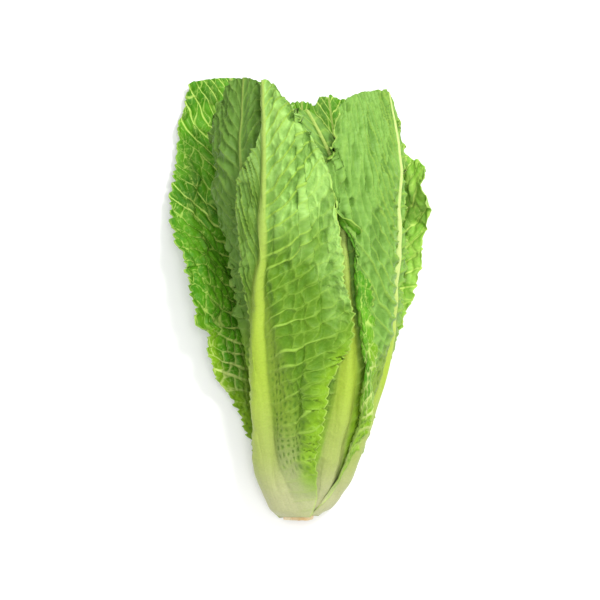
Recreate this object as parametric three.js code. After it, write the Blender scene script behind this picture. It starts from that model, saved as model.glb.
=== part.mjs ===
// A head of romaine (cos) lettuce, cut from its root and lying on its back.
// Millimetres, +Z up. The head lies along Y: the cut stem is at its -Y end and the leaf tips at +Y.
// The origin is the middle of the footprint, on the surface that the head rests on.
//
// Every leaf is a separate thin solid. Leaves are listed from the heart outwards, and each one lies on those
// before it: at a height y along the head and an azimuth round it, a leaf's inner face is at the stem's radius
// plus the thickness of each earlier leaf there, plus its share of the air in the head.
import * as THREE from 'three';

// ---- Driving dimensions --------------------------------------------------------------------------------
const HEAD_LENGTH = 300; // from the cut to the longest leaf tip
const AIR = 71; // radius that loose leaves add to the head at its widest
const DRAWN_AIR = 71; // the AIR that AXIS_RISE and the leaves' widths are drawn for: both follow AIR from there
const STEM_RADIUS = 10.5; // at the cut
const STEM_SWELL = 3; // how much wider the stem is just above the cut
const STEM_LENGTH = 76;
const HEART_RADIUS = 1.5; // hollow left in the middle of the heart, above the stem
const BLADE = 1.0; // thickness of a crinkled blade
const CLEARANCE = 0.5; // gap between a leaf and what it lies on
const RIB_HALF_WIDTH = 12; // half the width of an outer leaf's midrib at its base
const RIB_HEIGHT = 6; // how far it stands out of the blade there
const FLATNESS = 0.86; // height of the head over its width, before its own weight presses it
const BELLY = 0.68; // depth of the pressed underside, as a share of the radius
const PRESS_DEPTH = 3.2; // how far the weight presses the lowest leaves into each other
const PRESS_ZONE = 18; // height over which they take it up
const BRIDGE = 1.3; // how much wider than a midrib the hump is that it makes in the leaves over it
const OVERLAP_FADE = 14; // distance over which an outer leaf comes down past the margin of an inner one

// Shapes along the head: [share of HEAD_LENGTH, value], joined by a smooth curve.
const AIR_CURVE = [ // share of AIR
  [0, 0], [0.05, 0.03], [0.1, 0.15], [0.16, 0.28], [0.3, 0.44], [0.5, 0.64], [0.7, 0.9], [0.85, 1], [1, 0.96],
];
const AXIS_SHIFT = [[0, 0], [0.17, 8], [0.33, 12], [0.5, 11], [0.67, 6], [0.83, 3], [1, 0]]; // sideways, in mm
const AXIS_RISE = [ // height of the axis, in mm
  [0, 11.5], [0.1, 17], [0.17, 21], [0.33, 28.4], [0.5, 34.6], [0.67, 39], [0.85, 42], [1, 39],
];

// Half the width of a blade along its leaf: [share of the leaf's length, share of its greatest half-width].
const OUTLINE = [[0, 0.2], [0.12, 0.34], [0.3, 0.56], [0.5, 0.86], [0.68, 1], [0.85, 0.95], [1, 0.66]];

const RAD = Math.PI / 180;
const clamp01 = (t) => Math.min(1, Math.max(0, t));
const smooth = (t) => clamp01(t) ** 2 * (3 - 2 * clamp01(t));

// The value at x of a smooth curve through [x, value] points.
function along(points, x) {
  const last = points.length - 1;
  if (x <= points[0][0]) return points[0][1];
  if (x >= points[last][0]) return points[last][1];
  let k = 0;
  while (x > points[k + 1][0]) k++;
  const slope = (i) => {
    const a = points[Math.max(0, i - 1)];
    const b = points[Math.min(last, i + 1)];
    return (b[1] - a[1]) / (b[0] - a[0]);
  };
  const [x0, y0] = points[k];
  const [x1, y1] = points[k + 1];
  const h = x1 - x0;
  const t = (x - x0) / h;
  return (
    y0 * (1 + 2 * t) * (1 - t) ** 2 + y1 * t * t * (3 - 2 * t) +
    h * (slope(k) * t * (1 - t) ** 2 - slope(k + 1) * t * t * (1 - t))
  );
}

// ---- Leaves, from the heart outwards --------------------------------------------------------------------
// azimuth: where the midrib is, in degrees from straight up towards +X, one value or a curve along the head.
// base, tip: where the leaf leaves the stem, in mm from the cut, and where it ends, as a share of HEAD_LENGTH.
// left, right: half-widths of the blade in mm, one value on the usual outline or a curve of its own.
// rib: size of the midrib against that of the outermost leaves.
// round: how blunt the tip is. free: a margin that stands off the head, as [its width in mm, the degrees it turns
// out, the share of the leaf's length at which it starts].
const GOLDEN_ANGLE = 137.5;
const HEART_LEAVES = 12;
const HEART_TURN = 40; // azimuth of the innermost leaf
const heartLeaf = (k) => {
  const grown = k / (HEART_LEAVES - 1);
  return {
    name: `heart_leaf_${String(HEART_LEAVES - k).padStart(2, '0')}`,
    azimuth: HEART_TURN + GOLDEN_ANGLE * k,
    base: 66 - 46 * grown,
    tip: 0.42 + 0.45 * grown ** 0.8,
    left: 22 + 30 * grown,
    right: 22 + 30 * grown,
    rib: 0.3 + 0.35 * grown,
  };
};

const OUTER_LEAVES = [
  { name: 'inner_back_leaf', azimuth: -160, base: 20, tip: 0.93, left: 54, right: 54, rib: 0.66 },
  { name: 'inner_right_leaf', azimuth: 116, base: 18, tip: 0.915, left: 50, right: 54, rib: 0.68 },
  { name: 'inner_front_leaf', azimuth: -2, base: 16, tip: 0.9, left: 44, right: 50, rib: 0.7 },
  { name: 'inner_left_leaf', azimuth: -104, base: 14, tip: 0.9, left: 50, right: 56, rib: 0.74 },
  { name: 'rear_right_leaf', azimuth: 150, base: 11, tip: 0.96, left: 58, right: 58, rib: 0.8 },
  {
    name: 'left_leaf',
    azimuth: [[0, -72], [0.3, -60], [0.6, -48], [1, -40]],
    base: 10, tip: 0.975, rib: 0.86, round: 0.1,
    left: [[0, 12], [0.15, 15], [0.3, 20], [0.45, 25], [0.58, 30], [0.68, 42], [0.78, 54], [0.88, 50], [1, 32]],
    right: 46,
  },
  {
    name: 'front_right_leaf',
    azimuth: [[0, 30], [0.15, 24], [0.3, 23], [0.65, 25], [0.78, 18], [0.86, 9], [0.93, -1]],
    base: 6, tip: 0.93, rib: 0.94, round: 0.1,
    left: 48,
    right: [[0, 16], [0.15, 20], [0.4, 22], [0.7, 18], [1, 10]],
  },
  { name: 'rear_leaf', azimuth: 178, base: 5, tip: 0.95, left: 60, right: 60, rib: 0.95 },
  {
    name: 'right_leaf',
    azimuth: [[0, 82], [0.1, 74], [0.25, 62], [0.5, 67], [0.7, 78], [1, 86]],
    base: 4, tip: 0.95, rib: 1, round: 0.11,
    left: [[0, 14], [0.12, 18], [0.3, 21], [0.42, 24], [0.55, 38], [0.7, 66], [0.85, 92], [1, 84]],
    right: 56,
    free: { left: [9, 50] },
  },
  {
    name: 'front_leaf',
    azimuth: [[0, -44], [0.08, -50], [0.2, -53], [0.4, -51], [0.55, -42], [0.7, -29], [0.9, -24], [1, -27]],
    base: 3, tip: 0.97, rib: 1.05, round: 0.13,
    left: [[0, 12], [0.15, 15], [0.35, 14], [0.5, 12], [0.65, 16], [0.8, 23], [0.92, 20], [1, 14]],
    right: [[0, 20], [0.08, 34], [0.2, 48], [0.34, 56], [0.42, 74], [0.5, 82], [0.6, 74], [0.72, 62], [0.86, 55], [1, 46]],
    free: { left: [6, 25], right: [9, 35] },
  },
  {
    name: 'right_wing_leaf',
    azimuth: [[0, 142], [0.3, 138], [0.7, 136], [1, 134]],
    base: 2, tip: 0.84, rib: 1, round: 0.08,
    left: [[0, 12], [0.2, 14], [0.4, 15], [0.5, 20], [0.62, 30], [0.78, 42], [0.9, 46], [1, 34]],
    right: 54,
    free: { left: [34, -12, 0.2] },
  },
  {
    name: 'left_wing_leaf',
    azimuth: [[0, -128], [0.15, -136], [0.7, -137], [1, -134]],
    base: 1, tip: 1, rib: 1.05, round: 0.06,
    left: 56,
    right: [
      [0, 12], [0.15, 20], [0.26, 36], [0.34, 52], [0.43, 60], [0.54, 70], [0.66, 59], [0.78, 48], [0.88, 40], [1, 32],
    ],
    free: { right: [46, 6, 0.05] },
  },
];

const leaves = [...Array.from({ length: HEART_LEAVES }, (_, k) => heartLeaf(k)), ...OUTER_LEAVES];
leaves.forEach((leaf, order) => {
  leaf.order = order;
  leaf.share = (order + 1) / leaves.length;
  leaf.end = leaf.tip * HEAD_LENGTH;
});

// ---- The form of a head --------------------------------------------------------------------------------
const azimuthAt = (leaf, y) =>
  typeof leaf.azimuth === 'number' ? leaf.azimuth : along(leaf.azimuth, y / HEAD_LENGTH);
const grownAt = (leaf, y) => clamp01((y - leaf.base) / (leaf.end - leaf.base));
const drawnWidth = (size, u) => (typeof size === 'number' ? size * along(OUTLINE, u) : along(size, u));
const halfWidth = (size, u) => (AIR / DRAWN_AIR) * drawnWidth(size, u);
const ribHalfWidth = (leaf, u) => RIB_HALF_WIDTH * leaf.rib * (0.13 + 0.87 * (1 - u) ** 1.7);
const airAt = (y) => AIR * along(AIR_CURVE, y / HEAD_LENGTH);

function stemRadius(y) {
  const t = y / STEM_LENGTH;
  const widest = STEM_RADIUS + STEM_SWELL * smooth(t / 0.2);
  return widest + (HEART_RADIUS - widest) * smooth((t - 0.12) / 0.88);
}

// How far a midrib stands out of the blade, at a distance across from its middle.
function ribHeight(leaf, u, across) {
  const t = across / ribHalfWidth(leaf, u);
  const rise = smooth(0.45 + u * 5); // it swells out of the stem
  return Math.abs(t) < 1 ? RIB_HEIGHT * leaf.rib * rise * (0.1 + 0.9 * (1 - u) ** 1.3) * (1 - t * t) ** 2 : 0;
}

// The radius used to turn a distance across a leaf into an angle round the head.
const guideRadius = (leaf, y) => stemRadius(y) + 4 + leaf.share * (airAt(y) + 18 * smooth(y / (0.35 * HEAD_LENGTH)));

// The depth that a leaf takes up at a height and azimuth, its clearance included.
function leafDepth(leaf, y, azimuth) {
  const turn = ((azimuth - azimuthAt(leaf, y) + 540) % 360 + 360) % 360 - 180;
  const across = turn * RAD * guideRadius(leaf, y);
  const u = grownAt(leaf, y);
  const beyond = Math.abs(across) - halfWidth(across < 0 ? leaf.left : leaf.right, u);
  const there = smooth(1 + (y - leaf.base) / OVERLAP_FADE) * smooth(1 + (leaf.end - y) / OVERLAP_FADE);
  return there * (1 - smooth(beyond / OVERLAP_FADE)) * (BLADE + CLEARANCE + ribHeight(leaf, u, across / BRIDGE));
}

// The radius of what a leaf lies on.
function innerRadius(leaf, y, azimuth) {
  let radius = stemRadius(y) + CLEARANCE + leaf.share * airAt(y);
  for (let k = 0; k < leaf.order; k++) radius += leafDepth(leaves[k], y, azimuth);
  return radius;
}

// The axis lies higher where more air makes the underside thicker.
const axisRise = (s) => along(AXIS_RISE, s) + BELLY * FLATNESS * (AIR - DRAWN_AIR) * along(AIR_CURVE, s);

// A point of the head, from its height along the axis, azimuth and radius. The underside is flattened.
function headPoint(y, azimuth, radius) {
  const sine = Math.sin(azimuth * RAD);
  const cosine = Math.cos(azimuth * RAD);
  const press = cosine < 0 ? (1 + (-cosine / BELLY) ** 8) ** (-1 / 8) : 1;
  const s = y / HEAD_LENGTH;
  return new THREE.Vector3(
    along(AXIS_SHIFT, s) + radius * press * sine,
    y,
    axisRise(s) + radius * press * cosine * FLATNESS,
  );
}

// Weight on the lowest leaves: heights from -PRESS_DEPTH to PRESS_ZONE close up into 0 to PRESS_ZONE.
function settle(point) {
  if (point.z < PRESS_ZONE) point.z = ((point.z + PRESS_DEPTH) * PRESS_ZONE) / (PRESS_ZONE + PRESS_DEPTH);
  if (point.z < 0) point.z = 0;
  return point;
}

// ---- One leaf ------------------------------------------------------------------------------------------
const TIP_ROUND = 0.17; // how far a tip's corners usually fall behind its middle, as a share of the leaf's length
const WIDEST_WRAP = 150; // degrees that a half-blade may wrap round the head
const FEELER = 0.5; // step, in mm, that finds the direction across a leaf

// A point on a leaf: u from base to tip, c from the left margin (-1) to the right one (1), face 0 inner or 1 outer.
function leafPoint(leaf, u, c, face) {
  const drop = (leaf.round ?? TIP_ROUND) * u ** 4 * (1 - Math.sqrt(1 - 0.96 * c * c));
  const y = leaf.base + (leaf.end - leaf.base) * (u - drop);
  const side = Math.sign(c) || 1;
  const half = halfWidth(side < 0 ? leaf.left : leaf.right, u);
  const [freeWidth, freeTurn, freeFrom = 0] = leaf.free?.[side < 0 ? 'left' : 'right'] ?? [0, 0];
  const freePart = Math.min(freeWidth * smooth((u - freeFrom) * 4), half * 0.8);
  const distance = Math.abs(c) * half;
  const held = Math.min(distance, half - freePart);
  const onHead = (reach, height) => {
    const wrap = Math.min(reach / guideRadius(leaf, y) / RAD, WIDEST_WRAP);
    const azimuth = azimuthAt(leaf, y) + side * wrap;
    return headPoint(y, azimuth, innerRadius(leaf, y, azimuth) + height);
  };
  const thickness = face * (BLADE + ribHeight(leaf, u, distance));
  const start = onHead(held, distance > held ? 0 : thickness);
  if (distance <= held) return start;
  // Past the held part, the margin runs on in a curve of its own.
  const forward = start.clone().sub(onHead(held - FEELER, 0)).normalize();
  const outward = new THREE.Vector3(-side * forward.z, 0, side * forward.x);
  const bend = (freeTurn * RAD) / freePart;
  const turned = bend * (distance - held);
  return start
    .addScaledVector(forward, Math.sin(turned) / bend + -face * BLADE * Math.sin(turned))
    .addScaledVector(outward, (1 - Math.cos(turned)) / bend + face * BLADE * Math.cos(turned));
}

const ROWS = [0, 0.03, 0.07, 0.12, 0.19, 0.28, 0.4, 0.52, 0.64, 0.76, 0.87, 0.95, 1];
const BLADE_COLUMNS = [0.2, 0.4, 0.6, 0.8, 1]; // across a half-blade, from the edge of the midrib to the margin

// A leaf is a box, one cell thick, bent into shape: its width runs across the leaf and its height along it.
function leafMesh(leaf) {
  const halfCount = BLADE_COLUMNS.length + 1;
  const columns = 2 * halfCount;
  const geometry = new THREE.BoxGeometry(1, 1, 1, columns, ROWS.length - 1, 1);
  const corner = geometry.getAttribute('position');
  for (let i = 0; i < corner.count; i++) {
    const column = Math.round((corner.getX(i) + 0.5) * columns) - halfCount;
    const u = ROWS[Math.round((corner.getY(i) + 0.5) * (ROWS.length - 1))];
    const side = Math.sign(column);
    const step = Math.abs(column);
    const ribEdge = Math.min(ribHalfWidth(leaf, u) / halfWidth(side < 0 ? leaf.left : leaf.right, u), 0.4);
    const c = step < 2 ? step * ribEdge : ribEdge + (1 - ribEdge) * BLADE_COLUMNS[step - 2];
    const point = settle(leafPoint(leaf, u, side * c, corner.getZ(i) > 0 ? 1 : 0));
    corner.setXYZ(i, point.x, point.y, point.z);
  }
  geometry.computeVertexNormals();
  const mesh = new THREE.Mesh(geometry, leaf.order < HEART_LEAVES ? HEART_GREEN : LEAF_GREEN);
  mesh.name = leaf.name;
  return mesh;
}

// ---- The stem ------------------------------------------------------------------------------------------
const STEM_SIDES = 20;
const STEM_RINGS = 8;

// A cylinder, drawn in to the stem's taper round the head's axis. Its lower end is the cut.
function stemMesh() {
  const geometry = new THREE.CylinderGeometry(1, 1, 1, STEM_SIDES, STEM_RINGS);
  const corner = geometry.getAttribute('position');
  for (let i = 0; i < corner.count; i++) {
    const y = (corner.getY(i) + 0.5) * STEM_LENGTH;
    const azimuth = Math.atan2(corner.getX(i), corner.getZ(i)) / RAD;
    const radius = Math.hypot(corner.getX(i), corner.getZ(i)) * (stemRadius(y) - CLEARANCE);
    const point = settle(headPoint(y, azimuth, radius));
    corner.setXYZ(i, point.x, point.y, point.z);
  }
  geometry.computeVertexNormals();
  const mesh = new THREE.Mesh(geometry, STEM_WHITE);
  mesh.name = 'stem';
  return mesh;
}

// ---- Materials and assembly ----------------------------------------------------------------------------
const LEAF_GREEN = new THREE.MeshStandardMaterial({ color: 0x6da63a, roughness: 0.5, metalness: 0 });
const HEART_GREEN = new THREE.MeshStandardMaterial({ color: 0xb9cf6c, roughness: 0.5, metalness: 0 });
const STEM_WHITE = new THREE.MeshStandardMaterial({ color: 0xdcd3b0, roughness: 0.6, metalness: 0 });

const head = new THREE.Group();
head.name = 'romaine_head';
head.add(stemMesh(), ...leaves.map(leafMesh));

const box = new THREE.Box3().setFromObject(head);
head.position.set(-(box.min.x + box.max.x) / 2, -(box.min.y + box.max.y) / 2, -box.min.z);

const part = new THREE.Group();
part.add(head);
export default part;
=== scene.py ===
import bpy
import numpy as np
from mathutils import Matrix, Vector


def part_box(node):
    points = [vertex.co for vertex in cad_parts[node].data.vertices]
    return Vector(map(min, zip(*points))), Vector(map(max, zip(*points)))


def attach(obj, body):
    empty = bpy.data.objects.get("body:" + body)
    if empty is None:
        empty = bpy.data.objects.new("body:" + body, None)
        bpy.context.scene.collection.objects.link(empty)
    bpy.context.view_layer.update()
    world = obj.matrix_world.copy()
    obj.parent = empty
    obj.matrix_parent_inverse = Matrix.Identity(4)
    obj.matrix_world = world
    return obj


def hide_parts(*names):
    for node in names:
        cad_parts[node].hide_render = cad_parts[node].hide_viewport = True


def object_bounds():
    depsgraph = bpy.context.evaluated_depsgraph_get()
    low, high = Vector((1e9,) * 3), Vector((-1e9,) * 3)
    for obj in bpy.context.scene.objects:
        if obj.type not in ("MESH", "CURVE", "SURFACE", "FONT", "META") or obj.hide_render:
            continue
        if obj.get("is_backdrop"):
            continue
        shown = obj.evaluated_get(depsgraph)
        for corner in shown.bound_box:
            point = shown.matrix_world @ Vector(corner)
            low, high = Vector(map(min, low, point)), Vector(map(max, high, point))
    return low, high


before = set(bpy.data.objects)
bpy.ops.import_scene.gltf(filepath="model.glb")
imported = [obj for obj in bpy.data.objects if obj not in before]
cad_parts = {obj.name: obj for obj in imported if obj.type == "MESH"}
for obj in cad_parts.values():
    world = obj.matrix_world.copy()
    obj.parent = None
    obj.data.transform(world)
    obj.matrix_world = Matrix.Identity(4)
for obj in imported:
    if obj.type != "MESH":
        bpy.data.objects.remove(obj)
CAD_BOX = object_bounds()

MM = 0.001

# ---- The head's dimensions, as designed (mm and degrees) ---------------------------------------------
HEAD_LENGTH = 300
AIR = 71  # radius that loose leaves add to the head at its widest
BRIDGE = 1.3  # width of the hump over a midrib, per width of the midrib
STEM_RADIUS = 10.5
STEM_SWELL = 3
STEM_LENGTH = 76
HEART_RADIUS = 1.5
BLADE = 1.0
CLEARANCE = 0.5
RIB_HALF_WIDTH = 12
RIB_HEIGHT = 6
FLATNESS = 0.86
BELLY = 0.68
PRESS_DEPTH = 3.2
PRESS_ZONE = 18
OVERLAP_FADE = 14

# Shapes along the head: [share of HEAD_LENGTH, value], joined by a smooth curve.
AIR_CURVE = [
    [0, 0], [0.05, 0.03], [0.1, 0.15], [0.16, 0.28], [0.3, 0.44],
    [0.5, 0.64], [0.7, 0.9], [0.85, 1], [1, 0.96],
]
AXIS_SHIFT = [[0, 0], [0.17, 8], [0.33, 12], [0.5, 11], [0.67, 6], [0.83, 3], [1, 0]]
AXIS_RISE = [[0, 11.5], [0.1, 17], [0.17, 21], [0.33, 28.4], [0.5, 34.6], [0.67, 39], [0.85, 42], [1, 39]]
OUTLINE = [[0, 0.2], [0.12, 0.34], [0.3, 0.56], [0.5, 0.86], [0.68, 1], [0.85, 0.95], [1, 0.66]]

GOLDEN_ANGLE = 137.5
HEART_LEAVES = 12
HEART_TURN = 40


def heart_leaf(k):
    grown = k / (HEART_LEAVES - 1)
    return dict(
        name=f"heart_leaf_{HEART_LEAVES - k:02d}",
        azimuth=HEART_TURN + GOLDEN_ANGLE * k,
        base=66 - 46 * grown,
        tip=0.42 + 0.45 * grown**0.8,
        left=22 + 30 * grown,
        right=22 + 30 * grown,
        rib=0.3 + 0.35 * grown,
        pale=round(1 - 0.55 * grown, 2),
    )


# What a leaf is like where it says nothing else.
USUAL = dict(
    round=0.17,  # how blunt the tip is
    jag=1,  # how uneven the tip is
    free={},  # per side, a margin that stands off the head: its width, the degrees it turns, where it starts
    roll={},  # per side, the extra width that a margin rolls back with
    teeth=1.8,  # depth of the margin's teeth
    lobes=1,  # depth of its lobes
    ruffle=2,  # height of its ruffles
    calm=0.4,  # how much of the teeth and ruffles is lost towards the tip
    steep=(0, 0),  # how much more the side veins rise towards the tip, left and right of the midrib
    thick=1,  # how far the thick flesh beside the midrib reaches
    pale=0,  # how little light the leaf has had
    shade=0.3,  # how dark its green is
    bloom_and_sheen=0.5,  # where along the leaf its waxy bloom starts, with the painted sheen on it
    painted_shade=(0, 0),  # how much painted shade darkens the face to a grey green, left and right of the midrib
    white=0.3,  # how white the upper midrib is
)
# The full-sized leaves under the outer ones.
INNER = dict(pale=0.05, shade=0.95, teeth=4.5, lobes=4, calm=0, ruffle=4.5)

# azimuth: where round the head the midrib lies. base: where it starts, in mm. tip: where it ends, as a share
# of HEAD_LENGTH. left, right: half-widths of the blade. rib: size of the midrib. A list of points is a curve.
OUTER_LEAVES = [
    dict(INNER, name="inner_back_leaf", azimuth=-160, base=20, tip=0.93, left=54, right=54, rib=0.66),
    dict(INNER, name="inner_right_leaf", azimuth=116, base=18, tip=0.915, left=50, right=54, rib=0.68),
    dict(INNER, name="inner_front_leaf", azimuth=-2, base=16, tip=0.9, left=44, right=50, rib=0.7),
    dict(
        INNER, name="inner_left_leaf", azimuth=-104, base=14, tip=0.9, left=50, right=56, rib=0.74,
        teeth=4, lobes=3, ruffle=2,
    ),
    dict(name="rear_right_leaf", azimuth=150, base=11, tip=0.96, left=58, right=58, rib=0.8, shade=0.7),
    dict(
        name="left_leaf",
        azimuth=[[0, -72], [0.3, -60], [0.6, -48], [1, -40]],
        base=10, tip=0.975, rib=0.86, round=0.1,
        left=[
            [0, 12], [0.15, 15], [0.3, 20], [0.45, 25], [0.58, 30],
            [0.68, 42], [0.78, 54], [0.88, 50], [1, 32],
        ],
        right=46,
        shade=1.1, bloom_and_sheen=0.3, painted_shade=(0.85, 0.7),
    ),
    dict(
        name="front_right_leaf",
        azimuth=[
            [0, 40], [0.1, 35], [0.2, 32], [0.3, 31], [0.42, 27],
            [0.53, 24], [0.65, 23], [0.78, 18], [0.86, 9], [0.93, -1],
        ],
        base=6, tip=0.9, rib=0.94, round=0.14,
        left=48,
        right=[[0, 14], [0.15, 17], [0.4, 25], [0.7, 24], [1, 12]],
        shade=0.88, bloom_and_sheen=0.4, thick=0.35, white=0.4, calm=0.7,
    ),
    dict(name="rear_leaf", azimuth=178, base=5, tip=0.95, left=60, right=60, rib=0.95, shade=0.8),
    dict(
        name="right_leaf",
        azimuth=[
            [0, 84], [0.1, 80], [0.25, 75], [0.45, 76],
            [0.58, 73], [0.7, 69], [0.85, 67], [1, 65],
        ],
        base=4, tip=0.95, rib=1, round=0.07,
        left=[
            [0, 14], [0.12, 18], [0.24, 25], [0.315, 32], [0.43, 46],
            [0.55, 56], [0.63, 63], [0.72, 71], [0.85, 80], [1, 68],
        ],
        right=[[0, 10], [0.12, 17], [0.3, 28], [0.5, 28], [0.7, 14], [1, 8]],
        free=dict(
            left=(
                [[0, 5], [0.1, 7], [0.4, 7], [0.5, 7], [1, 5]],
                [[0, 60], [0.08, 180], [0.64, 180], [0.76, 60], [1, 20]],
                0,
            ),
        ),
        roll=dict(
            left=[
                [0, 0], [0.08, 8], [0.2, 15], [0.3, 18], [0.43, 18],
                [0.55, 15], [0.66, 11], [0.72, 7], [0.78, 0],
            ],
        ),
        shade=0.85, bloom_and_sheen=0.2, steep=(0.55, 0.55), teeth=3.6, calm=0.6, white=0.8,
    ),
    dict(
        name="front_leaf",
        azimuth=[
            [0, -46], [0.08, -54], [0.16, -58], [0.28, -54], [0.4, -46],
            [0.52, -38], [0.6, -29], [0.68, -24], [0.85, -19], [1, -21],
        ],
        base=3, tip=0.97, rib=1.05, round=0.1,
        left=[
            [0, 10], [0.15, 9], [0.35, 8], [0.46, 8], [0.56, 17],
            [0.72, 24], [0.8, 23], [0.85, 14], [0.89, 5], [0.93, 2.5], [1, 2],
        ],
        right=[
            [0, 20], [0.08, 33], [0.18, 45], [0.27, 54], [0.33, 59], [0.4, 70], [0.47, 75],
            [0.53, 70], [0.6, 64], [0.72, 56], [0.83, 50], [0.91, 38], [1, 18],
        ],
        free=dict(
            left=([[0, 5], [0.6, 5], [0.8, 1], [1, 0.5]], 20, 0),
            right=(
                [[0, 4], [0.08, 6], [0.3, 8], [0.4, 9], [0.7, 8], [0.85, 2], [1, 1]],
                [[0, 20], [0.2, 25], [0.4, 30], [1, 20]],
                0,
            ),
        ),
        shade=0.25, bloom_and_sheen=0.68, painted_shade=(0.7, 0), steep=(2.6, 0), teeth=5, ruffle=2.8, calm=0.85,
    ),
    dict(
        name="right_wing_leaf",
        azimuth=[[0, 142], [0.3, 138], [0.7, 136], [1, 134]],
        base=2, tip=0.84, rib=1, round=0.08,
        left=[
            [0, 5], [0.08, 11], [0.2, 14], [0.4, 16], [0.5, 23],
            [0.62, 33], [0.7, 37], [0.79, 38], [0.88, 44], [1, 46],
        ],
        right=[[0, 5], [0.12, 18], [0.3, 30], [0.5, 46], [0.68, 54], [0.85, 51], [1, 36]],
        free=dict(left=(34, -12, 0.2)),
        shade=-0.25, teeth=3.4, lobes=2, calm=0.7,
    ),
    dict(
        name="left_wing_leaf",
        azimuth=[[0, -128], [0.15, -136], [0.7, -137], [1, -134]],
        base=1, tip=1, rib=1.05, round=0.02,
        left=[[0, 5], [0.12, 19], [0.3, 31], [0.5, 48], [0.68, 56], [0.85, 53], [1, 37]],
        right=[
            [0, 5], [0.06, 12], [0.15, 20], [0.26, 36], [0.34, 52], [0.43, 60],
            [0.54, 70], [0.66, 59], [0.78, 48], [0.88, 40], [1, 32],
        ],
        free=dict(right=(46, 6, 0.05)),
        shade=1.0, teeth=5, lobes=4.5, jag=0.4,
    ),
]
# These are seen most, and have the finest meshes.
SHOWN = {
    "left_leaf", "front_right_leaf", "right_leaf", "front_leaf", "right_wing_leaf", "left_wing_leaf",
    "rear_leaf", "rear_right_leaf",
}

leaves = [dict(USUAL, **leaf) for leaf in [heart_leaf(k) for k in range(HEART_LEAVES)] + OUTER_LEAVES]
for order, leaf in enumerate(leaves):
    leaf["order"] = order
    leaf["share"] = (order + 1) / len(leaves)
    leaf["end"] = leaf["tip"] * HEAD_LENGTH


# ---- Curves and noise --------------------------------------------------------------------------------
NOISE_SIZE = 64
CELLS_SIZE = 128


def smooth(t):
    t = np.clip(t, 0, 1)
    return t * t * (3 - 2 * t)


def along(points, x):
    """The values at x of a smooth curve through [x, value] points."""
    xs, ys = np.array(points, float).T
    last = len(xs) - 1
    before = np.maximum(np.arange(last + 1) - 1, 0)
    after = np.minimum(np.arange(last + 1) + 1, last)
    slope = (ys[after] - ys[before]) / (xs[after] - xs[before])
    k = np.clip(np.searchsorted(xs, x) - 1, 0, last - 1)
    h = xs[k + 1] - xs[k]
    t = np.clip((x - xs[k]) / h, 0, 1)
    ends = ys[k] * (1 + 2 * t) * (1 - t) ** 2 + ys[k + 1] * t * t * (3 - 2 * t)
    return ends + h * (slope[k] * t * (1 - t) ** 2 - slope[k + 1] * t * t * (1 - t))


def value_at(size, x):
    """A size that is one number or a curve."""
    return along(size, x) if isinstance(size, list) else np.full(np.shape(x), float(size))


def noise(x, y, seed):
    """Smooth noise from -1 to 1 with features about one unit across."""
    table = np.random.default_rng(seed).uniform(-1, 1, (NOISE_SIZE, NOISE_SIZE))
    i, j = np.floor(x).astype(int), np.floor(y).astype(int)
    s, t = smooth(x - i), smooth(y - j)
    i, j = i % NOISE_SIZE, j % NOISE_SIZE
    i_next, j_next = (i + 1) % NOISE_SIZE, (j + 1) % NOISE_SIZE
    low = table[i, j] * (1 - s) + table[i_next, j] * s
    high = table[i, j_next] * (1 - s) + table[i_next, j_next] * s
    return low * (1 - t) + high * t


def cells(p, q, size, jitter, seed):
    """How far (mm) a point is inside its cell of a jittered grid of cells, each of size[0] by size[1] mm."""
    table = np.random.default_rng(seed).uniform(-0.5, 0.5, (2, CELLS_SIZE, CELLS_SIZE))
    i, j = np.floor(p).astype(int), np.floor(q).astype(int)
    nearest = np.full(p.shape, 1e9)
    second = np.full(p.shape, 1e9)
    for a in (-1, 0, 1):
        for b in (-1, 0, 1):
            offset = table[:, (i + a) % CELLS_SIZE, (j + b) % CELLS_SIZE]
            across = (p - (i + a + 0.5 + jitter[0] * offset[0])) * size[0]
            up = (q - (j + b + 0.5 + jitter[1] * offset[1])) * size[1]
            distance = np.hypot(across, up)
            second = np.minimum(second, np.maximum(nearest, distance))
            nearest = np.minimum(nearest, distance)
    return (second - nearest) / 2


# ---- The form of a head, as designed -----------------------------------------------------------------
def azimuth_at(leaf, y):
    return value_at(leaf["azimuth"], y / HEAD_LENGTH)


def grown_at(leaf, y):
    return np.clip((y - leaf["base"]) / (leaf["end"] - leaf["base"]), 0, 1)


def half_width(size, u):
    return along(size, u) if isinstance(size, list) else size * along(OUTLINE, u)


def rib_half_width(leaf, u):
    return RIB_HALF_WIDTH * leaf["rib"] * (0.13 + 0.87 * (1 - u) ** 1.7)


def air_at(y):
    return AIR * along(AIR_CURVE, y / HEAD_LENGTH)


def stem_radius(y):
    t = y / STEM_LENGTH
    widest = STEM_RADIUS + STEM_SWELL * smooth(t / 0.2)
    return widest + (HEART_RADIUS - widest) * smooth((t - 0.12) / 0.88)


def rib_height(leaf, u, across):
    t = np.abs(across) / rib_half_width(leaf, u)
    rise = smooth(0.45 + u * 5)
    profile = np.where(t < 1, (1 - t * t) ** 2, 0)
    return RIB_HEIGHT * leaf["rib"] * rise * (0.1 + 0.9 * (1 - u) ** 1.3) * profile


def rib_ridge(leaf, u, across):
    """The midrib as it is seen: broader than designed, and higher towards the tip."""
    broader = 1.15 + 0.35 * smooth((u - 0.5) / 0.2)
    higher = 1 + 0.7 * smooth((u - 0.45) / 0.2)
    t = np.abs(across) / (broader * rib_half_width(leaf, u))
    return rib_height(leaf, u, 0) * higher * np.where(t < 1, (1 - t * t) ** 1.3, 0)


def guide_radius(leaf, y):
    return stem_radius(y) + 4 + leaf["share"] * (air_at(y) + 18 * smooth(y / (0.35 * HEAD_LENGTH)))


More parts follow.
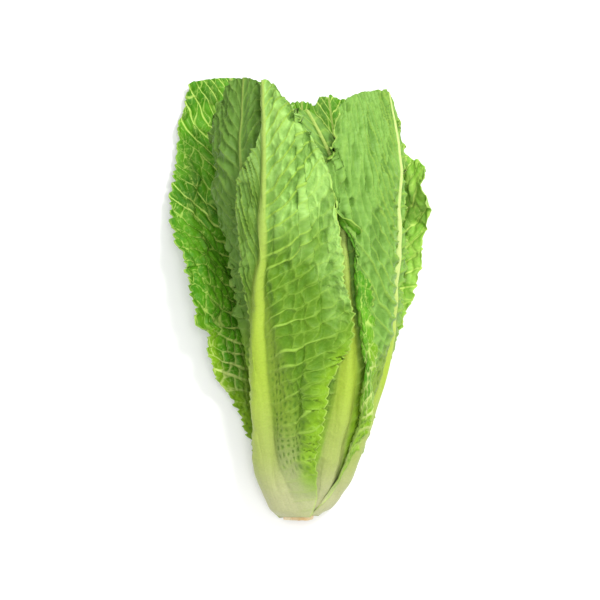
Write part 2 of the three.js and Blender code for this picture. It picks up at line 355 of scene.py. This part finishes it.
def leaf_depth(leaf, y, azimuth):
    turn = (azimuth - azimuth_at(leaf, y) + 180) % 360 - 180
    across = np.radians(turn) * guide_radius(leaf, y)
    u = grown_at(leaf, y)
    half = np.where(across < 0, half_width(leaf["left"], u), half_width(leaf["right"], u))
    beyond = np.abs(across) - half
    there = smooth(1 + (y - leaf["base"]) / OVERLAP_FADE) * smooth(1 + (leaf["end"] - y) / OVERLAP_FADE)
    depth = BLADE + CLEARANCE + rib_height(leaf, u, across / BRIDGE)
    return there * (1 - smooth(beyond / OVERLAP_FADE)) * depth


def inner_radius(leaf, y, azimuth):
    radius = stem_radius(y) + CLEARANCE + leaf["share"] * air_at(y)
    for earlier in leaves[: leaf["order"]]:
        radius = radius + leaf_depth(earlier, y, azimuth)
    return radius


def head_point(y, azimuth, radius):
    sine, cosine = np.sin(np.radians(azimuth)), np.cos(np.radians(azimuth))
    press = np.where(cosine < 0, (1 + (np.abs(cosine) / BELLY) ** 8) ** (-1 / 8), 1)
    s = y / HEAD_LENGTH
    x = along(AXIS_SHIFT, s) + radius * press * sine
    z = along(AXIS_RISE, s) + radius * press * cosine * FLATNESS
    return np.stack([x, y + 0 * x, z], -1)


def settle(points, least=0.0):
    """Presses the underside flat on the surface. least: the lowest that these points can lie, in mm."""
    z = points[..., 2]
    pressed = (z + PRESS_DEPTH) * PRESS_ZONE / (PRESS_ZONE + PRESS_DEPTH)
    points[..., 2] = np.maximum(np.where(z < PRESS_ZONE, pressed, z), least)
    return points


# ---- One leaf ----------------------------------------------------------------------------------------
WIDEST_WRAP = 150
FEELER = 0.5
SHEET = 0.8  # thickness of a blade, in mm
VEIN_GAP = 8.6  # between side veins, along the midrib
CELL_LENGTH = 8  # of the blisters between side veins
PIT_GAP = 3.4  # between the pits beside the midrib
RELIEF = 1.8  # height of the blisters' edges
BUCKLE = 2.2  # height of the blade's large waves
FOLD_STEPS = 16
# What each point of a leaf's mesh carries for the material.
FACTS = (
    "along", "up", "across", "rim", "rib", "vein", "stout", "net", "mesh",
    "flesh", "pit", "fresh", "dent", "painted_shade",
)


def covered(leaf, y, azimuth):
    """How much of a point is under later leaves, from 0 to 1."""
    cover = np.zeros(y.shape)
    for later in leaves[leaf["order"] + 1 :]:
        turn = (azimuth - azimuth_at(later, y) + 180) % 360 - 180
        across = np.radians(turn) * guide_radius(later, y)
        u = grown_at(later, y)
        half = np.where(across < 0, half_width(later["left"], u), half_width(later["right"], u))
        there = smooth(1 + (y - later["base"]) / 4) * smooth(1 + (later["end"] - y) / 4)
        cover = np.maximum(cover, there * smooth((half + 2 - np.abs(across)) / 5))
    return cover


def toothing(edge, seed, depth, lobes):
    """How far the margin is cut back, in mm, at a distance along it: lobes with irregular teeth on them."""
    flat = np.zeros(edge.shape)
    warp = edge / 6 + 0.9 * noise(edge / 15, flat + 3.1, seed)
    saw = warp % 1
    size = 0.55 + 0.45 * noise(np.floor(warp) * 0.73, flat + 9.3, seed + 1)
    fine = 0.3 * noise(edge / 1.9, flat + 5.5, seed + 2)
    lobe = np.abs(noise(edge / 11 + 4, flat + 6.5, seed + 3)) ** 0.7
    return depth * (size * (1 - saw) ** 1.5 + fine) + lobes * (1 - lobe)


def liveliness(leaf, u):
    """How strongly the margin is toothed and ruffled along the leaf, from 0 to 1."""
    return 1 - leaf["calm"] * smooth((u - 0.55) / 0.2)


def on_head(leaf, y, reach, side):
    """A point of the leaf's inner face against the head, reach mm from the midrib, and its azimuth."""
    wrap = np.minimum(np.degrees(reach / guide_radius(leaf, y)), WIDEST_WRAP)
    azimuth = azimuth_at(leaf, y) + side * wrap
    return head_point(y, azimuth, inner_radius(leaf, y, azimuth)), azimuth


def leaf_surface(leaf, u, c, side):
    """The inner face: points, mm across from the midrib, mm from the margin, mm along the head, azimuth."""
    name = "left" if side < 0 else "right"
    length = leaf["end"] - leaf["base"]
    seed = 10 * leaf["order"] + side
    half = half_width(leaf[name], u)
    roll = value_at(leaf["roll"].get(name, 0.0), u)
    drop = leaf["round"] * u**4 * (1 - np.sqrt(1 - 0.96 * c * c))
    jag = 3.6 * noise(c * half / 8, c * 0 + 0.5, seed + 7)
    jag = jag + 1.2 * noise(c * half / 2.6, c * 0 + 2.5, seed + 8)
    y = leaf["base"] + length * (u - drop) - u**6 * np.abs(jag) * leaf["jag"]

    margin = np.abs(c)
    teeth = leaf["teeth"] * smooth(u * 5) * (0.4 + 0.6 * smooth(half / 30)) * liveliness(leaf, u)
    lobes = leaf["lobes"] * smooth(u * 4) * liveliness(leaf, u)
    cut = np.minimum(toothing(length * u + 40 * side, seed + 3, teeth, lobes), 0.28 * (half + roll))
    distance = margin * (half + roll) - cut * smooth(2 * margin - 1)

    free_width, free_turn, free_from = leaf["free"].get(name, (0.0, 0.0, 0))
    free_width, free_turn = value_at(free_width, u), value_at(free_turn, u)
    free_part = np.minimum(free_width * smooth((u - free_from) * 4), half * 0.8)
    held = np.minimum(distance, half - free_part)
    start, azimuth = on_head(leaf, y, held, side)
    forward = start - on_head(leaf, y, held - FEELER, side)[0]
    forward /= np.linalg.norm(forward, axis=-1, keepdims=True)
    outward = np.stack([-side * forward[..., 2], 0 * y, side * forward[..., 0]], -1)
    # Past the held part, the margin runs on in a curve of its own; a rolled margin takes most of it at once.
    free = np.maximum(distance - held, 0)
    bend_length = np.maximum(free_part + roll, 0.5) * np.where(roll > 1, 0.55, 1)
    run, rise = np.zeros(y.shape), np.zeros(y.shape)
    for step in range(FOLD_STEPS):
        past = free * (step + 0.5) / FOLD_STEPS
        angle = np.radians(free_turn) * np.minimum(past / bend_length, 1)
        run += np.cos(angle) * free / FOLD_STEPS
        rise += np.sin(angle) * free / FOLD_STEPS
    points = start + forward * run[..., None] + outward * rise[..., None]
    return points, side * distance, (half + roll) * (1 - margin), y, azimuth


def leaf_grid(leaf, spacing):
    """The leaf's smooth inner face, from its left margin to its right one."""
    rows = int((leaf["end"] - leaf["base"]) / spacing) + 1
    u = np.linspace(0, 1, rows)[:, None]
    sides = []
    for side, name in ((-1, "left"), (1, "right")):
        widest = half_width(leaf[name], np.linspace(0, 1, 40)).max()
        roll = value_at(leaf["roll"].get(name, 0.0), np.linspace(0, 1, 40)).max()
        columns = int((widest + 0.5 * roll) / spacing) + 1
        uu, cc = np.broadcast_arrays(u, np.linspace(0, 1, columns)[None, :] * side)
        grid = (*leaf_surface(leaf, uu.copy(), cc.copy(), side), uu)
        sides.append([a[:, :0:-1] for a in grid] if side < 0 else grid)
    return [np.concatenate(pair, 1) for pair in zip(*sides)]


def leaf_pattern(leaf, across, rim, u, up):
    """What the leaf's skin is like at each point: its veins, the net between them, flesh, pits and dents."""
    seed = 10 * leaf["order"]
    away = np.abs(across)
    from_rib = away - rib_half_width(leaf, u)
    on_rib = away / rib_half_width(leaf, u)
    blade = smooth((on_rib - 0.8) / 0.7)

    # Side veins leave the midrib at a slope that grows with height, and curve up towards the tip.
    wander = 3.4 * noise(across / 21 + 7, up / 26, seed + 11) + 1.5 * noise(across / 8, up / 10, seed + 10)
    slope = 0.12 + 0.25 * u + 1.1 * u**4 + np.where(across < 0, *leaf["steep"]) * u
    vein = (up - away * slope - 0.0025 * away**2 + wander) / VEIN_GAP + np.where(across < 0, 0.5, 0)
    vein_gap = np.abs((vein + 0.5) % 1 - 0.5) * VEIN_GAP
    reach = noise(np.round(vein) * 0.77, u * 0 + 1.5, seed + 9)
    stout = smooth(1.2 - away / (46 + 34 * reach)) * (0.75 + 0.35 * reach)

    # Between them, the blade is a net of blisters, of two sizes.
    lane = away / CELL_LENGTH + 0.5 * noise(across / 9, up / 9, seed + 12)
    net = cells(vein, lane + 0.37 * np.floor(vein), (VEIN_GAP, CELL_LENGTH), (0.3, 0.8), seed + 13)
    mesh = cells(vein * 2.3 + 5, lane * 2.3, (VEIN_GAP / 2.3, CELL_LENGTH / 2.3), (0.8, 0.8), seed + 14)

    # Low on the leaf the midrib passes over into the blade through smooth, thick flesh, pitted in rows.
    thick = (5 + 27 * (1 - smooth((u - 0.15) / 0.45))) * leaf["thick"]
    flesh = smooth(1.25 - from_rib / thick) * smooth((0.66 - u) / 0.25)
    pits = cells(vein * 2 + 0.3, away / PIT_GAP, (VEIN_GAP / 2, PIT_GAP), (0.45, 0.6), seed + 19)
    pit_zone = smooth((from_rib - 2) / 4) * smooth(flesh * 2.5)
    pit = smooth((pits - 0.75) / 0.5) * pit_zone * smooth((u - 0.08) / 0.08) * smooth((0.46 - u) / 0.12)

    # Low down, the margin is fresh and crinkled. Higher up, the blade is dented.
    fresh = smooth((15 - rim) / 10) * smooth((0.5 - u) / 0.14) * smooth((u - 0.04) / 0.08) * blade
    dent = smooth((noise(up / 11, across / 6.5, seed + 22) - 0.22) / 0.35) * smooth((u - 0.45) / 0.2)
    # Painted shade: the face is darkened where it lies turned away from the light.
    painted_shade_left, painted_shade_right = leaf["painted_shade"]
    painted_shade = painted_shade_right + (painted_shade_left - painted_shade_right) * smooth(0.5 - across / 5)
    return dict(
        along=u, up=up, across=across, rim=rim, blade=blade, on_rib=on_rib,
        vein=vein, vein_gap=vein_gap, stout=stout, net=net, mesh=mesh,
        flesh=flesh, pit=pit, fresh=fresh, dent=dent, painted_shade=painted_shade * smooth((u - 0.24) / 0.2),
        rib=np.minimum(on_rib * (1 + 0.35 * smooth((u - 0.55) / 0.3)), 4),
    )


def leaf_height(leaf, skin, exposed):
    """How high the skin stands over the smooth leaf, in mm. exposed: 1 where nothing presses on it."""
    seed = 10 * leaf["order"]
    u, up, across, rim = skin["along"], skin["up"], skin["across"], skin["rim"]
    blade, fresh, flesh = skin["blade"], skin["fresh"], skin["flesh"]
    away = np.abs(across)
    room = exposed * (0.25 + 0.75 * smooth(up / 60))
    relief = RELIEF * blade * room * (1 - 0.7 * flesh) * (1 - 0.6 * fresh)
    height = relief * (np.exp(-skin["net"] / 1.7) + 0.35 * np.exp(-skin["mesh"] / 0.8))
    height += relief * 0.25 * noise(up / 8, across / 6, seed + 20)
    height += relief * 0.1 * noise(up / 4, across / 3.2, seed + 21)
    crinkle = noise(up / 5 + 0.4 * across / 5, across / 4.2, seed + 23)
    height += fresh * room * (0.8 * crinkle + 0.5 * noise(up / 2.1, across / 2.4, seed + 24) + 0.4)
    ridge = 1.7 * np.exp(-(skin["vein_gap"] ** 2)) + 0.9 * np.exp(-skin["vein_gap"] / 2)
    ridge = ridge * skin["stout"] * smooth((skin["on_rib"] - 0.5) / 0.7)
    height += ridge * room * (1 - 0.85 * flesh) * (1 - 0.85 * fresh)
    height -= 2.4 * skin["dent"] * blade * room
    height -= 0.7 * skin["pit"] * room
    # Near the upper midrib the skin is smoother, so that the midrib stands clear of it.
    height *= 1 - 0.85 * smooth((u - 0.42) / 0.2) * smooth(1.4 - away / 9)
    # The blade is buckled, and its margin ruffles.
    off_rib = smooth((away - rib_half_width(leaf, u)) / 16)
    height += BUCKLE * off_rib * room * (noise(up / 30, across / 22, seed + 17) + 0.4)
    edge = smooth(1 - rim / 18) * smooth(u * 4) * exposed * smooth((away + rim) / 24)
    wave = noise(up / 7 + 3, across / 25, seed + 15) + 0.6 * noise(up / 3.6, across / 10, seed + 16)
    return height + leaf["ruffle"] * edge * (wave + 0.9) * liveliness(leaf, u) * (1 - 0.55 * fresh)


def leaf_mesh(leaf, spacing):
    """Makes the leaf's closed sheet, which carries what the material needs to know at each point."""
    points, across, rim, y, azimuth, u = leaf_grid(leaf, spacing)
    up = u * (leaf["end"] - leaf["base"])
    skin = leaf_pattern(leaf, across, rim, u, up)
    height = leaf_height(leaf, skin, 1 - 0.75 * covered(leaf, y, azimuth))

    thickness = SHEET * (1 - 0.6 * smooth(1 - rim / 2.5))
    rib = rib_ridge(leaf, u, across)
    streaks = noise(up / 50, across / 3, 10 * leaf["order"] + 18)
    groove = 0.05 * np.sin(across * 2.4 + 2 * streaks) * smooth(rib / 1.5)
    normal = np.cross(np.gradient(points, axis=1), np.gradient(points, axis=0))
    normal /= np.maximum(np.linalg.norm(normal, axis=-1, keepdims=True), 1e-9)
    root = smooth(u / 0.035 + 0.25)
    inner_face = settle(points + normal * (height * root)[..., None], SHEET)
    outer_face = settle(points + normal * ((height + thickness + rib + groove) * root)[..., None])
    facts = {key: skin[key] for key in FACTS}
    return closed_sheet(leaf["name"], outer_face, inner_face, facts)


def closed_sheet(name, outer, inner, facts):
    """A mesh object from two grids of points, joined round their rims."""
    rows, columns = outer.shape[:2]
    count = rows * columns
    index = np.arange(count).reshape(rows, columns)
    squares = np.stack([index[:-1, :-1], index[:-1, 1:], index[1:, 1:], index[1:, :-1]], -1).reshape(-1, 4)
    loop = np.concatenate([index[0, :-1], index[:-1, -1], index[-1, :0:-1], index[:0:-1, 0]])
    ahead = np.roll(loop, -1)
    rim = np.stack([loop, loop + count, ahead + count, ahead], -1)
    faces = np.concatenate([squares, squares[:, ::-1] + count, rim])
    vertices = np.concatenate([outer.reshape(-1, 3), inner.reshape(-1, 3)]) * MM + OFFSET

    mesh = bpy.data.meshes.new(name)
    mesh.vertices.add(len(vertices))
    mesh.vertices.foreach_set("co", vertices.ravel())
    mesh.loops.add(faces.size)
    mesh.loops.foreach_set("vertex_index", faces.ravel())
    mesh.polygons.add(len(faces))
    mesh.polygons.foreach_set("loop_start", np.arange(0, faces.size, 4))
    mesh.polygons.foreach_set("loop_total", np.full(len(faces), 4))
    mesh.polygons.foreach_set("use_smooth", np.ones(len(faces), bool))
    mesh.update(calc_edges=True)
    mesh.validate()
    attributes = {key: np.concatenate([values.ravel(), values.ravel()]) for key, values in facts.items()}
    # 0 on the outer face and 1 on the inner one
    attributes["face"] = np.repeat([0.0, 1.0], count)
    for key, values in attributes.items():
        attribute = mesh.attributes.new(key, "FLOAT", "POINT")
        attribute.data.foreach_set("value", values.astype(np.float32))
    item = bpy.data.objects.new(name + "_leaf_form", mesh)
    bpy.context.scene.collection.objects.link(item)
    return item


# ---- Materials ---------------------------------------------------------------------------------------
class Shader:
    """Short calls for building a node material."""

    def __init__(self, name):
        self.material = bpy.data.materials.new(name)
        self.material.use_nodes = True
        self.tree = self.material.node_tree
        self.surface = self.tree.nodes["Principled BSDF"]

    def node(self, kind, **settings):
        made = self.tree.nodes.new(kind)
        for key, value in settings.items():
            setattr(made, key, value)
        return made

    def put(self, socket, value):
        if isinstance(value, bpy.types.NodeSocket):
            self.tree.links.new(value, socket)
        else:
            socket.default_value = value

    def fact(self, name):
        return self.node("ShaderNodeAttribute", attribute_name=name).outputs["Fac"]

    def math(self, operation, a, b=0.0):
        made = self.node("ShaderNodeMath", operation=operation)
        self.put(made.inputs[0], a)
        self.put(made.inputs[1], b)
        return made.outputs[0]

    def ramp(self, value, low, high, to_low=0.0, to_high=1.0):
        made = self.node("ShaderNodeMapRange", interpolation_type="SMOOTHSTEP")
        names = ("Value", "From Min", "From Max", "To Min", "To Max")
        for key, setting in zip(names, (value, low, high, to_low, to_high)):
            self.put(made.inputs[key], setting)
        return made.outputs[0]

    def mix(self, factor, a, b):
        made = self.node("ShaderNodeMix", data_type="RGBA", clamp_factor=True)
        self.put(made.inputs["Factor"], factor)
        self.put(made.inputs[6], (*a, 1) if isinstance(a, tuple) else a)
        self.put(made.inputs[7], (*b, 1) if isinstance(b, tuple) else b)
        return made.outputs[2]

    def spot(self, vector, scale, detail):
        made = self.node("ShaderNodeTexNoise")
        self.put(made.inputs["Vector"], vector)
        self.put(made.inputs["Scale"], scale)
        self.put(made.inputs["Detail"], detail)
        return made.outputs["Fac"]

    def set(self, **values):
        for key, value in values.items():
            self.put(self.surface.inputs[key.replace("_", " ")], value)

    def bump(self, height, strength, distance):
        made = self.node("ShaderNodeBump")
        self.put(made.inputs["Strength"], strength)
        self.put(made.inputs["Distance"], distance)
        self.put(made.inputs["Height"], height)
        self.put(self.surface.inputs["Normal"], made.outputs[0])


def srgb(r, g, b):
    """Linear colour from 8-bit screen values."""
    return tuple(v / 3294.6 if v < 10.3 else ((v / 255 + 0.055) / 1.055) ** 2.4 for v in (r, g, b))


def skin_place(s):
    """Where a point is on its leaf: mm across, mm up, and which face."""
    place = s.node("ShaderNodeCombineXYZ")
    for socket, fact in zip(place.inputs, ("across", "up", "face")):
        s.put(socket, s.fact(fact))
    return place.outputs[0]


def vein_strength(s):
    """How much of a point's colour is that of a vein: side veins, the net between them, its finest meshes."""
    u, face, flesh, stout = s.fact("along"), s.fact("face"), s.fact("flesh"), s.fact("stout")
    # The inner face has fine veins high up and broad ones low down.
    narrowing = s.ramp(face, 0, 1, 1, s.ramp(u, 0.25, 0.6, 1.15, 0.6))
    net_width = s.ramp(face, 0, 1, 0.7, s.ramp(u, 0.25, 0.6, 0.95, 0.45))
    phase = s.math("FRACT", s.math("ADD", s.fact("vein"), 0.5))
    gap = s.math("MULTIPLY", s.math("ABSOLUTE", s.math("SUBTRACT", phase, 0.5)), VEIN_GAP)
    width = s.math("MULTIPLY", s.ramp(stout, 0, 1, 0.5, 1.5), narrowing)
    side_vein = s.ramp(s.math("DIVIDE", gap, width), 0.3, 1.0, 1, 0)
    net = s.ramp(s.fact("net"), 0.06, net_width, 1, 0)
    mesh = s.ramp(s.fact("mesh"), 0.03, 0.4, 1, 0)
    strong = s.math("MULTIPLY", side_vein, s.ramp(stout, 0, 0.6, 0.4, 0.95))
    weak = s.math("MULTIPLY", net, s.ramp(face, 0, 1, 0.35, 0.7))
    finest = s.math("MULTIPLY", mesh, s.ramp(face, 0, 1, 0.12, 0.3))
    strength = s.math("MAXIMUM", s.math("MAXIMUM", strong, weak), finest)
    return s.math("MULTIPLY", strength, s.math("SUBTRACT", 1.0, s.math("MULTIPLY", flesh, 0.8)))


def blade_colour(s, leaf, cloud, mottle):
    """The colour of the blade between its veins."""
    shade, bloom_and_sheen = leaf["shade"], leaf["bloom_and_sheen"]
    u, face = s.fact("along"), s.fact("face")
    # The outer face is waxy and pales to its tip, partly in its own colour and partly as painted sheen on the
    # wax; the inner one is a deeper green.
    mint_and_sheen = srgb(168 - 50 * shade, 210 - 48 * shade, 114 - 44 * shade)
    grass = srgb(95 - 14 * shade, 134 - 16 * shade, 26)
    deep = srgb(88 - 16 * shade, 132 - 20 * shade, 26)
    bloom_and_sheen_place = s.math("ADD", u, s.math("MULTIPLY", s.math("SUBTRACT", cloud, 0.5), 0.5))
    bloom_and_sheen_place = s.math("ADD", bloom_and_sheen_place, s.math("MULTIPLY", s.math("ABSOLUTE", s.fact("across")), 0.003))
    outer = s.mix(s.ramp(bloom_and_sheen_place, bloom_and_sheen - 0.08, bloom_and_sheen + 0.16), grass, mint_and_sheen)
    outer = s.mix(s.math("MULTIPLY", s.ramp(mottle, 0.4, 0.7), 0.35), outer, deep)

    light = srgb(140 - 48 * shade, 192 - 36 * shade, 68 - 42 * shade)
    full = srgb(112 - 52 * shade, 168 - 44 * shade, 46 - 36 * shade)
    spotted = srgb(140 - 50 * shade, 190 - 44 * shade, 84 - 50 * shade)
    inner = s.mix(s.ramp(cloud, 0.35, 0.65), light, full)
    inner = s.mix(s.math("MULTIPLY", s.ramp(mottle, 0.45, 0.75), 0.4), inner, spotted)

    blade = s.mix(face, outer, inner)
    # On the outer face, painted shade darkens the sunk middles of the blisters.
    painted_blister_shade = s.math("MULTIPLY", s.ramp(s.fact("net"), 0.5, 3.0), 0.45)
    painted_blister_shade = s.math("MULTIPLY", painted_blister_shade, s.math("SUBTRACT", 1.0, face))
    blade = s.mix(painted_blister_shade, blade, srgb(80 - 16 * shade, 126 - 20 * shade, 22))
    # Painted shade darkens the dents.
    blade = s.mix(s.math("MULTIPLY", s.fact("dent"), 0.5), blade, srgb(80, 120, 40))
    # The flesh beside the midrib and the whole base are pale, and the low margin is a fresh green.
    thick = s.mix(s.ramp(u, 0.03, 0.26), srgb(180, 184, 134), srgb(122, 148, 48))
    fleshy = s.math("MAXIMUM", s.math("MULTIPLY", s.fact("flesh"), 0.85), s.ramp(u, 0.03, 0.1, 1, 0))
    blade = s.mix(fleshy, blade, thick)
    blade = s.mix(s.math("MULTIPLY", s.fact("fresh"), 0.85), blade, srgb(126, 168, 30))
    if leaf["pale"]:
        blade = s.mix(leaf["pale"], blade, srgb(204, 212, 116))
    # Painted shade darkens the pits.
    return s.mix(s.math("MULTIPLY", s.fact("pit"), 0.75), blade, srgb(76, 114, 26))


def vein_colour(s, shade):
    """The colour of the side veins and the net."""
    outer_vein = srgb(148 - 20 * shade, 186 - 20 * shade, 68)
    inner_vein = s.mix(s.ramp(s.fact("along"), 0.2, 0.55), srgb(212, 222, 140), srgb(190, 220, 104))
    return s.mix(s.fact("flesh"), s.mix(s.fact("face"), outer_vein, inner_vein), srgb(150, 176, 78))


def midrib_colour(s, white):
    """The colour of the midrib: cream at the base, then yellow-green, and paler again high up if white."""
    u = s.fact("along")
    high = srgb(134 + 70 * white, 164 + 54 * white, 58 + 84 * white)
    colour = s.mix(s.ramp(u, 0.03, 0.16), srgb(176, 178, 132), srgb(157, 170, 94))
    colour = s.mix(s.ramp(u, 0.1, 0.36), colour, srgb(159, 184, 62))
    return s.mix(s.ramp(u, 0.5 - 0.2 * white, 0.8 - 0.2 * white), colour, high)


def leaf_material(leaf):
    s = Shader(leaf["name"] + "_skin")
    place = skin_place(s)
    cloud = s.spot(place, 0.04, 3)
    mottle = s.spot(place, 0.25, 3)
    grain = s.spot(place, 0.9, 4)
    strength = vein_strength(s)
    colour = s.mix(strength, blade_colour(s, leaf, cloud, mottle), vein_colour(s, leaf["shade"]))
    colour = s.mix(s.ramp(s.fact("rib"), 0.85, 1.45, 1, 0), colour, midrib_colour(s, leaf["white"]))
    colour = s.mix(s.ramp(s.fact("rim"), 0.3, 1.4, 0.5, 0), colour, srgb(176, 206, 96))
    # Painted shade: a grey green laid over the face where it lies out of the light.
    colour = s.mix(s.math("MULTIPLY", s.fact("painted_shade"), 0.65), colour, srgb(76, 106, 38))
    colour = s.mix(s.math("MULTIPLY", s.ramp(grain, 0.35, 0.75), 0.12), colour, srgb(60, 96, 20))
    s.put(s.surface.inputs["Base Color"], colour)

    s.set(Roughness=s.ramp(grain, 0.2, 0.8, 0.34, 0.52))
    s.set(Specular_IOR_Level=0.14, Subsurface_Weight=0.08, Subsurface_Scale=0.0012)
    s.set(Subsurface_Radius=(0.6, 1.0, 0.25))
    lines = s.math("ADD", s.math("MULTIPLY", strength, 0.6), s.math("MULTIPLY", grain, 0.7))
    s.bump(s.math("ADD", lines, s.math("MULTIPLY", mottle, 1.5)), 0.5, 0.0007)
    return s.material


def stem_material():
    s = Shader("stem_flesh")
    where = s.node("ShaderNodeTexCoord").outputs["Object"]
    cloud = s.spot(where, 90, 4)
    grain = s.spot(where, 900, 3)
    colour = s.mix(s.ramp(cloud, 0.35, 0.7), srgb(232, 222, 184), srgb(214, 180, 124))
    colour = s.mix(s.math("MULTIPLY", s.ramp(grain, 0.4, 0.7), 0.35), colour, srgb(190, 150, 96))
    s.put(s.surface.inputs["Base Color"], colour)
    s.set(Roughness=0.6, Specular_IOR_Level=0.35, Subsurface_Weight=0.1, Subsurface_Scale=0.002)
    s.bump(grain, 0.4, 0.0005)
    return s.material


def plain_material(name, colour, roughness):
    s = Shader(name)
    s.put(s.surface.inputs["Base Color"], (*colour, 1))
    s.set(Roughness=roughness)
    return s.material


# ---- The stem ----------------------------------------------------------------------------------------
STEM_SIDES = 96
STEM_RINGS = 60
CUT_RINGS = 14


def stem_grid():
    """Points of the stem's side and cut face, as rings from the middle of the cut to the inner end."""
    azimuth = np.linspace(0, 360, STEM_SIDES, endpoint=False)[None, :]
    share = np.concatenate([np.linspace(0, 1, CUT_RINGS), np.ones(STEM_RINGS)])[:, None]
    y = np.concatenate([np.zeros(CUT_RINGS), np.linspace(0.4, STEM_LENGTH, STEM_RINGS)])[:, None]
    lumps = 0.25 * noise(azimuth / 12, y / 6, 901)
    face = np.where(y == 0, 0.35 * (noise(share * 7 + azimuth / 40, azimuth / 30, 902) + 1) * share, 0)
    radius = share * (stem_radius(y) - CLEARANCE + lumps * (share >= 1) - 0.4 * (y == 0))
    return settle(head_point(y + 0 * azimuth + face, azimuth + 0 * y, radius))


def stem_mesh():
    points = stem_grid()
    rows = points.shape[0]
    index = np.arange(rows * STEM_SIDES).reshape(rows, STEM_SIDES)
    ahead = np.roll(index, -1, 1)
    faces = np.stack([index[1:-1], ahead[1:-1], ahead[2:], index[2:]], -1).reshape(-1, 4).tolist()
    vertices = (points.reshape(-1, 3) * MM + OFFSET).tolist()
    # One point closes each end.
    start = np.array(points[0, 0]) * MM + OFFSET
    end = points[-1].mean(0) * MM + OFFSET
    vertices += [start.tolist(), end.tolist()]
    first, last = len(vertices) - 2, len(vertices) - 1
    for k in range(STEM_SIDES):
        n = (k + 1) % STEM_SIDES
        faces.append([first, int(index[1, n]), int(index[1, k])])
        faces.append([last, int(index[-1, k]), int(index[-1, n])])
    mesh = bpy.data.meshes.new("stem_form")
    mesh.from_pydata(vertices, [], faces)
    for polygon in mesh.polygons:
        polygon.use_smooth = True
    item = bpy.data.objects.new("stem_form", mesh)
    bpy.context.scene.collection.objects.link(item)
    return item


# The head's own axis, in the frame: the stem's box shows where the design put it.
low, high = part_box("stem")
form = stem_grid()[CUT_RINGS:]
OFFSET = np.array([
    (low.x + high.x) / 2 - (form[..., 0].min() + form[..., 0].max()) / 2 * MM,
    low.y,
    0.0,
])

# ---- Build -------------------------------------------------------------------------------------------
# Distances between the points of a leaf's mesh, in mm.
FINE, MIDDLE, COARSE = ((0.95, 2.0, 3.0))

stem = stem_mesh()
stem.data.materials.append(stem_material())
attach(stem, "root")
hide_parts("stem")

for leaf in leaves:
    heart = leaf["order"] < HEART_LEAVES
    spacing = FINE if leaf["name"] in SHOWN else COARSE if heart else MIDDLE
    piece = leaf_mesh(leaf, spacing)
    piece.data.materials.append(leaf_material(leaf))
    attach(piece, "root")
    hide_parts(leaf["name"])

# ---- Surroundings ------------------------------------------------------------------------------------
FLOOR_HALF = 3.0
FLOOR_DROP = 0.0004  # below the pressed underside of the leaves
floor_corners = [(x * FLOOR_HALF, y * FLOOR_HALF, 0) for x, y in ((-1, -1), (1, -1), (1, 1), (-1, 1))]
floor_mesh = bpy.data.meshes.new("floor")
floor_mesh.from_pydata(floor_corners, [], [(0, 1, 2, 3)])
floor = bpy.data.objects.new("floor", floor_mesh)
bpy.context.scene.collection.objects.link(floor)
floor.data.materials.append(plain_material("pale_floor", (0.95, 0.95, 0.95), 0.8))
floor.location.z = -FLOOR_DROP
floor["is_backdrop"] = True


LIT_POINT = Vector((0, 0, 0.04))


def area_light(name, place, size, power):
    data = bpy.data.lights.new(name, "AREA")
    data.shape = "DISK"
    data.size = size
    data.energy = power
    item = bpy.data.objects.new(name, data)
    item.location = place
    item.rotation_euler = (LIT_POINT - Vector(place)).to_track_quat("-Z", "Y").to_euler()
    bpy.context.scene.collection.objects.link(item)


area_light("key", (0.45, 0.6, 1.15), 0.3, 12)
area_light("front", (0.05, 0.05, 1.5), 0.5, 7)
area_light("fill", (0.5, -0.7, 1.0), 0.9, 2)

world = bpy.data.worlds.new("world")
bpy.context.scene.world = world
world.use_nodes = True
world.node_tree.nodes["Background"].inputs["Color"].default_value = (1, 1, 1, 1)
world.node_tree.nodes["Background"].inputs["Strength"].default_value = 0.78

# The camera looks straight down. At SIGHT_HEIGHT its view is FRAMING head lengths wide.
LENS, SENSOR = 120, 36
FRAMING = 1.32
SIGHT_HEIGHT = 0.045
SIGHT_X, SIGHT_Y = 0.0004, -0.0014
VIEW_WIDTH = (CAD_BOX[1].y - CAD_BOX[0].y) * FRAMING
camera_data = bpy.data.cameras.new("camera")
camera_data.lens = LENS
camera_data.sensor_width = SENSOR
camera_data.clip_end = 20
camera = bpy.data.objects.new("camera", camera_data)
camera.location = (SIGHT_X, SIGHT_Y, SIGHT_HEIGHT + VIEW_WIDTH * LENS / SENSOR)
bpy.context.scene.collection.objects.link(camera)
bpy.context.scene.camera = camera

bpy.context.scene.view_settings.view_transform = "Standard"

low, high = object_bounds()
